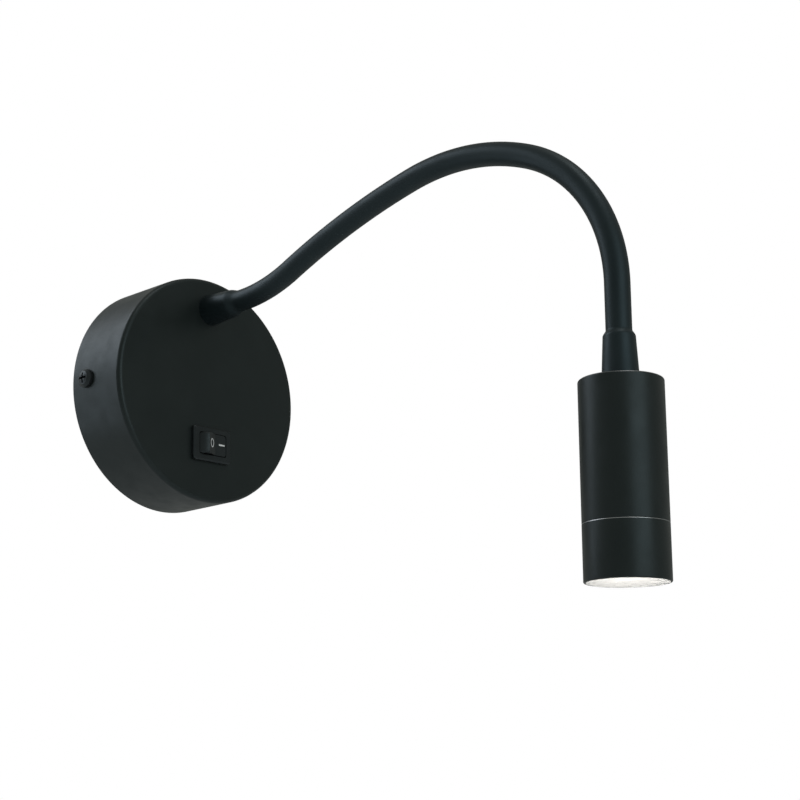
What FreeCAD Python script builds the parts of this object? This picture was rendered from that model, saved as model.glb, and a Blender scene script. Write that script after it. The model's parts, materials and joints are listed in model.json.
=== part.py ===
import FreeCAD, Part
import os
from math import acos, atan2, cos, degrees, pi, radians, sin, sqrt, tan

# Bedside wall reading lamp: a round canopy on the wall, a bendable gooseneck and a slim spot head.
# Millimetres. The wall is the plane y = 0, the lamp reaches out towards -Y, +X is right, +Z is up,
# and the origin is the centre of the canopy's back. "Out" below is the distance from the wall.

# ---- used throughout -----------------------------------------------------------------------------
SCREW_PLAY = 0.05             # radial play of a screw in its thread or hole
HOLE_PLAY = 0.2               # radial play of a through hole
FIT = 0.1                     # play between parts that push together by hand
SEAT = 0.3                    # between pieces that only rest near each other
OVER = 1.0                    # how far a cut runs on past a surface
M3_D = 3.0
M3_HEAD_D = 5.6
M3_HEAD_H = 2.0
M3_LENGTH = 10.0
M4_D = 4.0
M4_HEAD_D = 8.0
M4_HEAD_H = 2.6
M4_LENGTH = 8.0
HEAD_RIM_SHARE = 0.45         # pan head: height of its straight rim, as a share of the head's height
HEAD_SHOULDER_R_SHARE = 0.36  # radius and height of its shoulder, as shares of diameter and height
HEAD_SHOULDER_SHARE = 0.87
HEAD_TOP_R_SHARE = 0.18
RECESS_DEPTH_SHARE = 0.2      # cross recess, as shares of the head's diameter
RECESS_REACH_SHARE = 0.28
RECESS_HALF_W_SHARE = 0.06

# ---- canopy --------------------------------------------------------------------------------------
CANOPY_D = 100.0
CANOPY_DEPTH = 31.0
CANOPY_WALL = 1.5
CANOPY_EDGE_R = 2.0
SIDE_SCREW_OUT = 9.5          # side screws' distance from the wall

# ---- plate screwed to the wall -------------------------------------------------------------------
PLATE_D = 86.0
PLATE_T = 1.5
EAR_W = 12.0
EAR_T = 2.0
EAR_OUT = 15.0
EAR_PLAY = 0.2                # between an ear's edges and the canopy's inside
SLOT_SPACING = 60.0
SLOT_W = 4.5
SLOT_L = 10.0
ENTRY_HOLE_D = 14.0
GROMMET_D = 18.0
GROMMET_BORE = 9.0
GROMMET_T = 3.0

# ---- terminal block on the plate -----------------------------------------------------------------
BLOCK_W = 27.0
BLOCK_H = 16.0
BLOCK_DEPTH = 12.0
BLOCK_Z = -16.5
BLOCK_EDGE_GAP = 1.6          # from the block's lower outer corner to the canopy's wall
POLES = 3
POLE_PITCH = 9.0
INSERT_D = 5.0
INSERT_BORE = 3.2
INSERT_L = 12.0
INSERT_OUT_SHARE = 0.4        # inserts' height over the plate, as a share of the block's depth
CLAMP_D = 2.6                 # clamping screws
CLAMP_L = 4.5
CLAMP_WELL_D = 4.0
CLAMP_SPREAD_SHARE = 0.3      # from the block's middle to a clamping screw, as a share of INSERT_L
CLAMP_SLOT_DEPTH = 0.8
CLAMP_SLOT_W = 0.5
SCREW_WELL_D = 6.2            # room for the heads of the block's own screws
EARTH_X = -24.0
EARTH_Z = -17.0
TAG_D = 7.5
TAG_T = 0.8
TAG_NECK_W = 3.0
TAG_NECK_L = 1.5
TAG_BARREL_L = 5.0
TAG_BARREL_WALL = 0.6
TAG_BARREL_END = 1.0          # closed end of the barrel
TAG_LEAD_RUN = 8.0            # from the ring to where the lead turns away

# ---- driver stuck to the inside of the face ------------------------------------------------------
DRIVER_W = 40.0
DRIVER_H = 26.0
DRIVER_DEPTH = 15.0
DRIVER_Z = 7.0
DRIVER_WALL = 1.2
DRIVER_LEDGE = 1.0
TAPE_T = 1.0
TAPE_MARGIN = 3.0
BOARD_T = 1.2
BOARD_PLAY = 0.3
BOARD_BACK = 2.5              # from the driver's back to the board
TRANSFORMER_W, TRANSFORMER_H = 11.0, 10.0
FILTER_W, FILTER_H = 7.0, 6.0
CHIP_W, CHIP_H, CHIP_T = 5.0, 4.0, 1.6
BIG_CAN_D, SMALL_CAN_D = 6.5, 5.0
TALL_PART, SHORT_PART = 8.5, 6.5
DRIVER_LEAD_INSET = 6.0       # from the driver's ends to its lead holes
MAINS_OVER_BOARD = 3.0        # from the board to the mains leads

# ---- rocker switch -------------------------------------------------------------------------------
SWITCH_Z = -25.0
BEZEL_W = 21.0
BEZEL_H = 15.0
BEZEL_T = 2.0
BEZEL_CORNER_R = 1.5
BEZEL_BEVEL = 0.6
HOUSING_W = 18.8
HOUSING_H = 12.8
HOUSING_DEPTH = 17.0
HOUSING_FLOOR = 2.0
CLIP_PROUD = 0.9
CLIP_L = 5.0
ROCKER_THROW = 26.0           # degrees from ON to OFF
ROCKER_END_R = 8.6            # end faces are arcs about the pivot
ROCKER_W = 9.2
ROCKER_PLAY = 0.3
ROCKER_FLUSH = 0.2            # pressed half stands this proud of the bezel
ROCKER_CORNER_R = 1.0
PIVOT_BELOW_BEZEL = 4.6
ROCKER_SKIRT = 32.0           # degrees of end face below the corner
HUB_D = 4.4
PIVOT_D = 2.0
PIVOT_STUB = 1.0
WELL_DEPTH = 7.0              # wide part of the housing's inside
WELL_W = 14.0                 # narrow part that holds the contact
WELL_H = 9.0
STEM_D = 3.4
STEM_REACH = 4.4
PLUNGER_D = 1.8
PLUNGER_REACH = 6.6           # pivot to the plunger's tip
PLUNGER_L = 4.0
SPRING_L = 2.0
SPRING_WIRE = 0.3
CONTACT_L = 11.0
CONTACT_W = 4.0
CONTACT_T = 0.6
CONTACT_TILT = 8.0            # degrees to each side
CONTACT_GAP = 0.2
TAB_W = 4.8
TAB_T = 0.8
TAB_L = 6.5
SIDE_TAB_X = 6.0              # from the switch's middle to the side terminal
LANDING_INSET = 0.5           # from the see-saw's tip to where it lands
LANDING_L = 1.0

# ---- gooseneck -----------------------------------------------------------------------------------
NECK_Z = 36.0                 # height at which the neck leaves the face
NECK_D = 9.3
CORE_D = 7.0
CORE_BORE = 4.6
LEAD_D = 2.6
ROOT_STRAIGHT = 20.0
RISE_R = 79.0
RISE_ANGLE = 23.0             # degrees of turn; upwards is positive
CREST_R = 330.0
CREST_ANGLE = -12.5
FALL_R = 97.0
FALL_ANGLE = -35.5
DROP_R = 63.0
DROP_ANGLE = -66.5
TAIL_STRAIGHT = 35.0
NECK_JOINTS = 7
JOINT_PLAY = 0.3              # radial play of a link's dome in its cup
FERRULE_FOOT_D = 12.0
FERRULE_TIP_D = 10.2
FERRULE_NOSE = 3.0
ROOT_FERRULE_L = 15.0
HEAD_FERRULE_L = 13.0
SHOULDER = 5.0                # where the sleeve comes down from the ferrule to the neck
SLEEVE_ON_FERRULE = 0.85      # thickness of the stretched sleeve
STUB_D = 10.0                 # M10 x 1 hollow stub
STUB_L = 12.0
STUB_BORE = 6.0
NUT_AF = 14.0
NUT_T = 3.0

# ---- head ----------------------------------------------------------------------------------------
HEAD_D = 30.0
HEAD_L = 70.0
BODY_L = 50.0
HEAD_WALL = 1.5
HEAD_EDGE_R = 0.8
SEAM_BEVEL = 0.25             # on both edges of the seam between body and ring
RIM_BEVEL = 0.3
THREAD_L = 6.0
THREAD_PLAY = 0.1
MOUTH_D = 21.0
MOUTH_EDGE_D = 28.4
MOUTH_DEPTH = 3.0
MOUTH_LAND = 0.8
LENS_D = 24.6
LENS_T = 2.0
LENS_RIM = 1.5                # flat edge round the crowned middle
LENS_CROWN = 0.8
SEAL_T = 1.0
SINK_D = 26.6
SINK_L = 12.0
SINK_GROOVES = 4
SINK_GROOVE_W = 1.2
SINK_GROOVE_DEPTH = 3.0
SINK_BORE = 4.0
LED_BOARD_D = 22.0
LED_BOARD_T = 1.6
LEAD_OFFSET = 8.2             # lead's hole through sink and board, off the axis
LED_SIZE = 5.0
LED_T = 0.7
LED_DOME_R = 1.9
LED_SCREW_D = 2.0
LED_SCREW_HEAD_D = 3.6
LED_SCREW_HEAD_H = 1.3
LED_SCREW_L = 4.0
LED_SCREW_CIRCLE = 15.0
REFLECTOR_T = 1.0
REFLECTOR_SMALL_D = 9.0

LEAD_WIRE_D = 1.6             # single leads in the canopy
LEAD_EDGE_GAP = 1.0           # between the earth lead and the canopy's wall
LEAD_BEND = 3.0
LEAD_STRIP = 1.0              # how far a lead runs past the middle of its terminal
LIVE_DROP = 4.0               # live lead's run below the terminal block
LIVE_SIDE = 5.0               # and to the side of the switch's middle terminal
LIVE_RISE = 6.0               # switched live's climb above the switch

V = FreeCAD.Vector
X_AXIS, Y_AXIS, Z_AXIS = V(1, 0, 0), V(0, 1, 0), V(0, 0, 1)
OUTWARD = V(0, -1, 0)
FACE = CANOPY_DEPTH
FACE_BACK = CANOPY_DEPTH - CANOPY_WALL
CANOPY_IN_R = CANOPY_D / 2 - CANOPY_WALL
SINK_BOTTOM = BODY_L - THREAD_L - SEAT - LED_BOARD_T
BLOCK_X = sqrt((CANOPY_IN_R - BLOCK_EDGE_GAP) ** 2 - (BLOCK_Z - BLOCK_H / 2) ** 2) - BLOCK_W / 2


# ---- small helpers -------------------------------------------------------------------------------
def at(x, out, z):
    """A point by its distance out from the wall."""
    return V(x, -out, z)


def block(x, out, z):
    """A box from (low, high) pairs along X, out from the wall and up."""
    corner = V(x[0], -out[1], z[0])
    return Part.makeBox(x[1] - x[0], out[1] - out[0], z[1] - z[0], corner)


def rod(start, direction, diameter, length):
    return Part.makeCylinder(diameter / 2, length, start, direction)


def pipe(start, direction, outer, inner, length):
    return rod(start, direction, outer, length).cut(rod(start, direction, inner, length))


def fused(shapes):
    result = shapes[0]
    if len(shapes) > 1:
        result = result.multiFuse(shapes[1:])
    return result.removeSplitter()


def square_to(axis):
    """Two unit vectors square to an axis and to each other."""
    side = axis.cross(X_AXIS if abs(axis.x) < 0.9 else Y_AXIS).normalize()
    return side, axis.cross(side).normalize()


def turned(profile, origin, axis):
    """A solid of revolution: profile is a closed list of (radius, distance along axis)."""
    axis = V(axis).normalize()
    side, _ = square_to(axis)
    points = [origin + side * r + axis * d for r, d in profile]
    face = Part.Face(Part.makePolygon(points + points[:1]))
    return face.revolve(origin, axis, 360)


def rounded_prism(width, height, radius, centre, depth):
    """A prism along the outward direction with rounded corners; centre is its end nearest the wall."""
    solid = Part.makeBox(width, depth, height, centre + V(-width / 2, -depth, -height / 2))
    edges = [e for e in solid.Edges if abs(e.tangentAt(e.FirstParameter).y) > 0.9]
    return solid.makeFillet(radius, edges)


def circle_edges(solid, radius, centre):
    """The circular edges of one radius about one point."""
    found = []
    for edge in solid.Edges:
        curve = edge.Curve
        if isinstance(curve, Part.Circle) and abs(curve.Radius - radius) < 1e-4:
            if curve.Center.distanceToPoint(centre) < 1e-4:
                found.append(edge)
    return found


def hexagon(start, direction, across_flats, thickness, bore):
    """A hexagon nut or socket body with a round bore."""
    direction = V(direction).normalize()
    side, other = square_to(direction)
    corner = across_flats / 2 / cos(pi / 6)
    points = [start + side * (corner * cos(k * pi / 3)) + other * (corner * sin(k * pi / 3))
              for k in range(6)]
    nut = Part.Face(Part.makePolygon(points + points[:1])).extrude(direction * thickness)
    return nut.cut(rod(start, direction, bore, thickness))


def pan_screw(seat, direction, diameter, head_d, head_h, length):
    """A cross-recessed pan-head screw: seat is under the head, direction points to its tip."""
    direction = V(direction).normalize()
    head = turned([(0, 0), (head_d / 2, 0), (head_d / 2, head_h * HEAD_RIM_SHARE),
                   (head_d * HEAD_SHOULDER_R_SHARE, head_h * HEAD_SHOULDER_SHARE),
                   (head_d * HEAD_TOP_R_SHARE, head_h), (0, head_h)], seat, direction * -1)
    shank = rod(seat, direction, diameter, length)
    screw = head.fuse(shank)
    return screw.cut(cross_recess(seat - direction * head_h, direction, head_d)).removeSplitter()


def cross_recess(top, direction, head_d):
    """The two crossed slots of a screw head, cut down from top."""
    side, other = square_to(direction)
    slots = []
    for along, across in ((side, other), (other, side)):
        half = along * (head_d * RECESS_REACH_SHARE)
        edge = across * (head_d * RECESS_HALF_W_SHARE)
        points = [top - half - edge, top + half - edge, top + half + edge, top - half + edge]
        slot = Part.Face(Part.makePolygon(points + points[:1]))
        slots.append(slot.extrude(direction * (head_d * RECESS_DEPTH_SHARE)))
    return slots[0].fuse(slots[1])


def lead(points, diameter, bend):
    """A round lead along straight runs joined by tangent arcs."""
    parts = []
    start = points[0]
    for before, corner, after in zip(points, points[1:], points[2:]):
        into = (corner - before).normalize()
        out = (after - corner).normalize()
        turn = acos(max(-1.0, min(1.0, into.dot(out))))
        cut = bend * tan(turn / 2)
        arc_start = corner - into * cut
        parts.append(rod(start, arc_start - start, diameter, start.distanceToPoint(arc_start)))
        normal = into.cross(out).normalize()
        centre = arc_start + normal.cross(into).normalize() * bend
        disc = Part.Face(Part.Wire(Part.makeCircle(diameter / 2, arc_start, into)))
        parts.append(disc.revolve(centre, normal, degrees(turn)))
        start = corner + out * cut
    last = points[-1]
    parts.append(rod(start, last - start, diameter, start.distanceToPoint(last)))
    return fused(parts)


# ---- the neck's route ----------------------------------------------------------------------------
def neck_stretches():
    """(length, turn in degrees) of each stretch from the canopy's face to the head."""
    stretches = [(ROOT_STRAIGHT, 0.0)]
    for radius, turn in ((RISE_R, RISE_ANGLE), (CREST_R, CREST_ANGLE),
                         (FALL_R, FALL_ANGLE), (DROP_R, DROP_ANGLE)):
        stretches.append((radius * radians(abs(turn)), turn))
    stretches.append((TAIL_STRAIGHT, 0.0))
    return stretches


def step(point, heading, length, turn):
    """Move along one stretch; heading is the climb above straight out, in degrees."""
    if turn == 0:
        way = radians(heading)
        return point + at(0, cos(way), sin(way)) * length, heading
    chord = 2 * length / radians(abs(turn)) * sin(radians(abs(turn)) / 2)
    way = radians(heading + turn / 2)
    return point + at(0, cos(way), sin(way)) * chord, heading + turn


def neck_at(distance):
    """Point and heading of the neck's centre line at a distance from the face."""
    point, heading = at(0, FACE, NECK_Z), 0.0
    for length, turn in neck_stretches():
        part = min(distance, length)
        if part > 1e-9:
            point, heading = step(point, heading, part, turn * part / length)
        distance -= part
    return point, heading


def direction_of(heading):
    return at(0, cos(radians(heading)), sin(radians(heading)))


NECK_L = sum(length for length, _ in neck_stretches())
FLEX_START = ROOT_FERRULE_L + SHOULDER
FLEX_END = NECK_L - HEAD_FERRULE_L - SHOULDER
PITCH = (FLEX_END - FLEX_START) / NECK_JOINTS
PIVOTS = [FLEX_START + PITCH * (k + 0.5) for k in range(NECK_JOINTS)]
HEAD_TOP, HEAD_HEADING = neck_at(NECK_L)
HEAD_AXIS = direction_of(HEAD_HEADING)


def neck_tube(begin, end, outer, inner):
    """The stretch of a tube (or rod, when inner is 0) that follows the neck between two distances."""
    parts = []
    passed = 0.0
    for length, turn in neck_stretches():
        low, high = max(begin, passed), min(end, passed + length)
        if high - low > 1e-6:
            point, heading = neck_at(low)
            along = direction_of(heading)
            face = Part.Face(Part.Wire(Part.makeCircle(outer / 2, point, along)))
            if inner:
                face = face.cut(Part.Face(Part.Wire(Part.makeCircle(inner / 2, point, along)))).Faces[0]
            if turn == 0:
                parts.append(face.extrude(along * (high - low)))
            else:
                swept = turn * (high - low) / length
                radius = length / radians(abs(turn))
                upward = direction_of(heading + 90)
                centre = point + upward * (radius if turn > 0 else -radius)
                parts.append(face.revolve(centre, X_AXIS, -swept))
        passed += length
    return fused(parts)


def dome(distance, outer, inner):
    """The ball end of a link, on the canopy's side of its pivot."""
    pivot, heading = neck_at(distance)
    back = direction_of(heading) * -1
    ball = Part.makeSphere(outer / 2, pivot, back, 0, 90, 360)
    return ball.cut(rod(pivot, back, inner, outer)) if inner else ball


def cup(distance, ball):
    """What is cut from a link's far end so that the next link's ball can turn in it."""
    return Part.makeSphere(ball / 2 + JOINT_PLAY, neck_at(distance)[0])


def neck_section(index, outer, inner, ball, domed):
    """Section 0 starts at the face, section NECK_JOINTS ends at the head, the others are links."""
    begin = PIVOTS[index - 1] if index > 0 else FLEX_START
    end = PIVOTS[index] if index < NECK_JOINTS else FLEX_END
    solid = neck_tube(begin, end, outer, inner)
    if index > 0 and domed:
        solid = solid.fuse(dome(begin, outer, inner))
    if index < NECK_JOINTS:
        solid = solid.cut(cup(end, ball))
    return solid.removeSplitter()


def sleeve_flare(point, along, length, foot_d, tip_d):
    """The sleeve's end stretched over a ferrule; along points from the ferrule's foot to the neck."""
    foot = foot_d / 2
    tip = tip_d / 2
    wall = SLEEVE_ON_FERRULE
    return turned([(foot, 0), (foot + wall, 0), (tip + wall, length), (NECK_D / 2, length + SHOULDER),
                   (CORE_D / 2, length + SHOULDER), (CORE_D / 2, length + FERRULE_NOSE),
                   (tip, length)], point, along)


def neck_sleeves():
    """Soft black sleeve, in one section per moving link."""
    sections = [neck_section(k, NECK_D, CORE_D, NECK_D, True) for k in range(NECK_JOINTS + 1)]
    root, _ = neck_at(0)
    sections[0] = fused([sections[0], sleeve_flare(root, OUTWARD, ROOT_FERRULE_L,
                                                   FERRULE_FOOT_D, FERRULE_TIP_D)])
    sections[-1] = fused([sections[-1], sleeve_flare(HEAD_TOP, HEAD_AXIS * -1, HEAD_FERRULE_L,
                                                     FERRULE_FOOT_D, FERRULE_TIP_D)])
    return sections


def neck_cores():
    """Wound steel core of the gooseneck; it runs on into both ferrules."""
    sections = [neck_section(k, CORE_D, CORE_BORE, NECK_D, False) for k in range(NECK_JOINTS + 1)]
    sections[0] = fused([sections[0], neck_tube(SEAT, FLEX_START, CORE_D, CORE_BORE)])
    sections[-1] = fused([sections[-1], neck_tube(FLEX_END, NECK_L - SEAT, CORE_D, CORE_BORE)])
    return sections


def neck_leads():
    """Two-core lead from the driver to the light, in one section per moving link."""
    sections = [neck_section(k, LEAD_D, 0, LEAD_D, True) for k in range(NECK_JOINTS + 1)]
    sections[0] = fused([sections[0], neck_tube(0, FLEX_START, LEAD_D, 0), driver_tail()])
    sections[-1] = fused([sections[-1], neck_tube(FLEX_END, NECK_L, LEAD_D, 0), light_tail()])
    return sections


def driver_tail():
    """The lead's route from the neck's root back to the driver's top edge."""
    root = at(0, FACE, NECK_Z)
    top = DRIVER_Z + DRIVER_H / 2
    entry_x = DRIVER_W / 2 - DRIVER_LEAD_INSET
    return lead([root, at(0, led_lead_out(), NECK_Z), at(entry_x, led_lead_out(), NECK_Z),
                 at(entry_x, led_lead_out(), top)], LEAD_D, LEAD_BEND)


def led_lead_out():
    """Where the lead runs inside the canopy, clear of the neck's stub."""
    return FACE - STUB_L - LEAD_D - LEAD_BEND


def light_tail():
    """The lead's route inside the head: down the axis, then aside to its hole in sink and board."""
    side = X_AXIS * LEAD_OFFSET
    sink_top = SINK_BOTTOM - SINK_L
    first = HEAD_TOP + HEAD_AXIS * (sink_top / 2)
    second = HEAD_TOP + HEAD_AXIS * (sink_top - LEAD_BEND) + side
    last = HEAD_TOP + HEAD_AXIS * (SINK_BOTTOM + LED_BOARD_T + SEAT) + side
    return lead([HEAD_TOP, first, second, last], LEAD_D, LEAD_BEND)


# ---- ferrules and nuts ---------------------------------------------------------------------------
def ferrule(point, along, length):
    """Turned end fitting: a cone that carries the neck's core, and a hollow threaded stub behind."""
    foot, tip, core = FERRULE_FOOT_D / 2, FERRULE_TIP_D / 2, CORE_D / 2
    return turned([(STUB_BORE / 2, 0), (core, 0), (core, length + FERRULE_NOSE), (tip, length),
                   (foot, 0), (STUB_D / 2, 0), (STUB_D / 2, -STUB_L), (STUB_BORE / 2, -STUB_L)],
                  point, along)


def lock_nut(point, inward):
    return hexagon(point, inward, NUT_AF, NUT_T, STUB_D + 2 * SCREW_PLAY)


# ---- canopy pieces -------------------------------------------------------------------------------
def canopy_shell():
    radius = CANOPY_D / 2
    shell = turned([(0, FACE_BACK), (CANOPY_IN_R, FACE_BACK), (CANOPY_IN_R, 0), (radius, 0),
                    (radius, FACE), (0, FACE)], V(0, 0, 0), OUTWARD)
    shell = shell.makeFillet(CANOPY_EDGE_R, circle_edges(shell, radius, at(0, FACE, 0)))
    half_w, half_h = HOUSING_W / 2 + HOLE_PLAY, HOUSING_H / 2 + HOLE_PLAY
    cutout = block((-half_w, half_w), (FACE_BACK - OVER, FACE + OVER),
                   (SWITCH_Z - half_h, SWITCH_Z + half_h))
    neck = rod(at(0, 0, NECK_Z), OUTWARD, STUB_D + 2 * HOLE_PLAY, FACE + OVER)
    sides = rod(at(-radius - OVER, SIDE_SCREW_OUT, 0), X_AXIS, M4_D + 2 * HOLE_PLAY, CANOPY_D + 2 * OVER)
    return shell.cut(fused([cutout, neck, sides]))


def ear_outer_x():
    """Ears stand just inside the canopy's curved wall."""
    return sqrt(CANOPY_IN_R ** 2 - (EAR_W / 2) ** 2) - EAR_PLAY


def slot_cut(x):
    run = SLOT_L - SLOT_W
    depth = PLATE_T + 2 * OVER
    ends = [rod(at(x + s * run / 2, -OVER, 0), OUTWARD, SLOT_W, depth) for s in (-1, 1)]
    middle = block((x - run / 2, x + run / 2), (-OVER, PLATE_T + OVER), (-SLOT_W / 2, SLOT_W / 2))
    return fused(ends + [middle])


def wall_plate():
    ear = ear_outer_x()
    plate = rod(V(0, 0, 0), OUTWARD, PLATE_D, PLATE_T)
    arm = block((-ear, ear), (0, PLATE_T), (-EAR_W / 2, EAR_W / 2))
    ears = [block(sorted((s * (ear - EAR_T), s * ear)), (0, EAR_OUT), (-EAR_W / 2, EAR_W / 2))
            for s in (-1, 1)]
    plate = fused([plate, arm] + ears)
    depth = PLATE_T + 2 * OVER
    cuts = [rod(at(0, -OVER, 0), OUTWARD, ENTRY_HOLE_D, depth)]
    cuts += [slot_cut(s * SLOT_SPACING / 2) for s in (-1, 1)]
    cuts.append(rod(at(-ear - OVER, SIDE_SCREW_OUT, 0), X_AXIS, M4_D + 2 * SCREW_PLAY, 2 * (ear + OVER)))
    cuts += [rod(at(x, -OVER, z), OUTWARD, M3_D + 2 * SCREW_PLAY, depth) for x, z in plate_screw_places()]
    return plate.cut(fused(cuts))


def canopy_screws():
    radius = CANOPY_D / 2
    return Part.makeCompound([
        pan_screw(at(s * radius, SIDE_SCREW_OUT, 0), V(-s, 0, 0), M4_D, M4_HEAD_D, M4_HEAD_H, M4_LENGTH)
        for s in (-1, 1)])


def entry_grommet():
    """Rubber bush in the plate's cable hole, flush with the wall behind."""
    hole = ENTRY_HOLE_D / 2
    return turned([(GROMMET_BORE / 2, 0), (hole, 0), (hole, PLATE_T), (GROMMET_D / 2, PLATE_T),
                   (GROMMET_D / 2, GROMMET_T), (GROMMET_BORE / 2, GROMMET_T)], V(0, 0, 0), OUTWARD)


# ---- terminal block ------------------------------------------------------------------------------
def pole_xs():
    return [BLOCK_X + (k - (POLES - 1) / 2) * POLE_PITCH for k in range(POLES)]


def block_screw_xs():
    return [(a + b) / 2 for a, b in zip(pole_xs(), pole_xs()[1:])]


def plate_screw_places():
    return [(x, BLOCK_Z) for x in block_screw_xs()] + [(EARTH_X, EARTH_Z)]


def insert_out():
    """Height of the brass inserts' axis over the wall."""
    return PLATE_T + BLOCK_DEPTH * INSERT_OUT_SHARE


def terminal_block():
    x = (BLOCK_X - BLOCK_W / 2, BLOCK_X + BLOCK_W / 2)
    z = (BLOCK_Z - BLOCK_H / 2, BLOCK_Z + BLOCK_H / 2)
    top = PLATE_T + BLOCK_DEPTH
    body = block(x, (PLATE_T, top), z)
    cuts = []
    for px in pole_xs():
        cuts.append(rod(at(px, insert_out(), z[0] - OVER), Z_AXIS, INSERT_D, BLOCK_H + 2 * OVER))
        cuts += [rod(at(px, insert_out(), clamp_z(s)), OUTWARD, CLAMP_WELL_D, top) for s in (-1, 1)]
    for sx in block_screw_xs():
        cuts.append(rod(at(sx, 0, BLOCK_Z), OUTWARD, M3_D + 2 * SCREW_PLAY, top + OVER))
        cuts.append(rod(at(sx, M3_LENGTH, BLOCK_Z), OUTWARD, SCREW_WELL_D, top))
    return body.cut(fused(cuts))


def clamp_z(side):
    return BLOCK_Z + side * INSERT_L * CLAMP_SPREAD_SHARE


def terminal_inserts():
    inserts = []
    for px in pole_xs():
        tube = pipe(at(px, insert_out(), BLOCK_Z - INSERT_L / 2), Z_AXIS, INSERT_D, INSERT_BORE, INSERT_L)
        holes = [rod(at(px, insert_out(), clamp_z(s)), OUTWARD, CLAMP_D + 2 * SCREW_PLAY, INSERT_D)
                 for s in (-1, 1)]
        inserts.append(tube.cut(fused(holes)))
    return Part.makeCompound(inserts)


def terminal_screws():
    """Slotted clamping screws; their tips stay clear of the leads in the bore."""
    screws = []
    for px in pole_xs():
        for s in (-1, 1):
            tip = insert_out() + LEAD_WIRE_D / 2 + SCREW_PLAY
            head = tip + CLAMP_L
            body = rod(at(px, tip, clamp_z(s)), OUTWARD, CLAMP_D, CLAMP_L)
            slot = block((px - CLAMP_D, px + CLAMP_D), (head - CLAMP_SLOT_DEPTH, head + OVER),
                         (clamp_z(s) - CLAMP_SLOT_W / 2, clamp_z(s) + CLAMP_SLOT_W / 2))
            screws.append(body.cut(slot))
    return Part.makeCompound(screws)


def plate_screws():
    """Three M3 screws: two hold the terminal block, one holds the earth tag."""
    screws = []
    for x, z in plate_screw_places():
        length = PLATE_T + TAG_T if (x, z) == (EARTH_X, EARTH_Z) else M3_LENGTH
        screws.append(pan_screw(at(x, length, z), V(0, 1, 0), M3_D, M3_HEAD_D, M3_HEAD_H, length))
    return Part.makeCompound(screws)


def earth_tag():
    """Ring tag under the earth screw, with its crimp barrel for the earth lead."""
    ring = rod(at(EARTH_X, PLATE_T, EARTH_Z), OUTWARD, TAG_D, TAG_T)
    neck = block((EARTH_X, tag_edge() + TAG_NECK_L), (PLATE_T, PLATE_T + TAG_T),
                 (EARTH_Z - TAG_NECK_W / 2, EARTH_Z + TAG_NECK_W / 2))
    start = at(tag_edge() + TAG_NECK_L - TAG_BARREL_WALL, tag_lead_out(), EARTH_Z)
    barrel = rod(start, X_AXIS, LEAD_WIRE_D + 2 * TAG_BARREL_WALL, TAG_BARREL_L)
    tag = fused([ring, neck, barrel])
    tag = tag.cut(rod(at(EARTH_X, 0, EARTH_Z), OUTWARD, M3_D + 2 * SCREW_PLAY, PLATE_T + TAG_T + OVER))
    return tag.cut(rod(start + X_AXIS * TAG_BARREL_END, X_AXIS, LEAD_WIRE_D, TAG_BARREL_L))


def tag_edge():
    return EARTH_X + TAG_D / 2


def tag_lead_out():
    return PLATE_T + LEAD_WIRE_D / 2 + TAG_BARREL_WALL


# ---- driver --------------------------------------------------------------------------------------
def driver_span():
    """Driver's (x, out, z) ranges; it hangs on tape from the inside of the face."""
    front = FACE_BACK - TAPE_T
    return ((-DRIVER_W / 2, DRIVER_W / 2), (front - DRIVER_DEPTH, front),
            (DRIVER_Z - DRIVER_H / 2, DRIVER_Z + DRIVER_H / 2))


def inset(span, amount):
    return (span[0] + amount, span[1] - amount)


def driver_tape():
    x, out, z = driver_span()
    return block(inset(x, TAPE_MARGIN), (out[1], FACE_BACK), inset(z, TAPE_MARGIN))


def driver_case():
    x, out, z = driver_span()
    board_front = out[0] + BOARD_BACK + BOARD_T
    case = block(x, out, z)
    room = block(inset(x, DRIVER_WALL), (out[0] - OVER, board_front), inset(z, DRIVER_WALL))
    deep = DRIVER_WALL + DRIVER_LEDGE
    pocket = block(inset(x, deep), (out[0] - OVER, out[1] - DRIVER_WALL), inset(z, deep))
    holes = [rod(point, Z_AXIS, size, deep + 2 * OVER) for point, size in driver_lead_holes()]
    return case.cut(fused([room, pocket] + holes))


def driver_lead_holes():
    """Start point (below the wall it goes through) and size of each lead hole in the case."""
    z = driver_span()[2]
    top = at(DRIVER_W / 2 - DRIVER_LEAD_INSET, led_lead_out(), z[1] - DRIVER_WALL - DRIVER_LEDGE - OVER)
    return [(top, LEAD_D + 2 * HOLE_PLAY)] + [
        (at(px, live_out(), z[0] - OVER), LEAD_WIRE_D + 2 * HOLE_PLAY) for px in driver_mains_xs()]


def driver_mains_xs():
    """Where the switched live and the neutral enter the driver's lower wall."""
    return (-DRIVER_W / 2 + DRIVER_LEAD_INSET, DRIVER_W / 2 - DRIVER_LEAD_INSET)


def live_out():
    return driver_span()[1][0] + BOARD_BACK + BOARD_T + MAINS_OVER_BOARD


def driver_lid():
    x, out, z = driver_span()
    gap = DRIVER_WALL + FIT
    plate = block(inset(x, gap), (out[0], out[0] + DRIVER_WALL), inset(z, gap))
    lip = block(inset(x, gap), (out[0] + DRIVER_WALL, out[0] + BOARD_BACK), inset(z, gap))
    lip = lip.cut(block(inset(x, gap + DRIVER_WALL), (out[0], out[1]), inset(z, gap + DRIVER_WALL)))
    return fused([plate, lip])


def driver_board():
    x, out, z = driver_span()
    edge = DRIVER_WALL + BOARD_PLAY
    return block(inset(x, edge), (out[0] + BOARD_BACK, out[0] + BOARD_BACK + BOARD_T), inset(z, edge))


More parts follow.
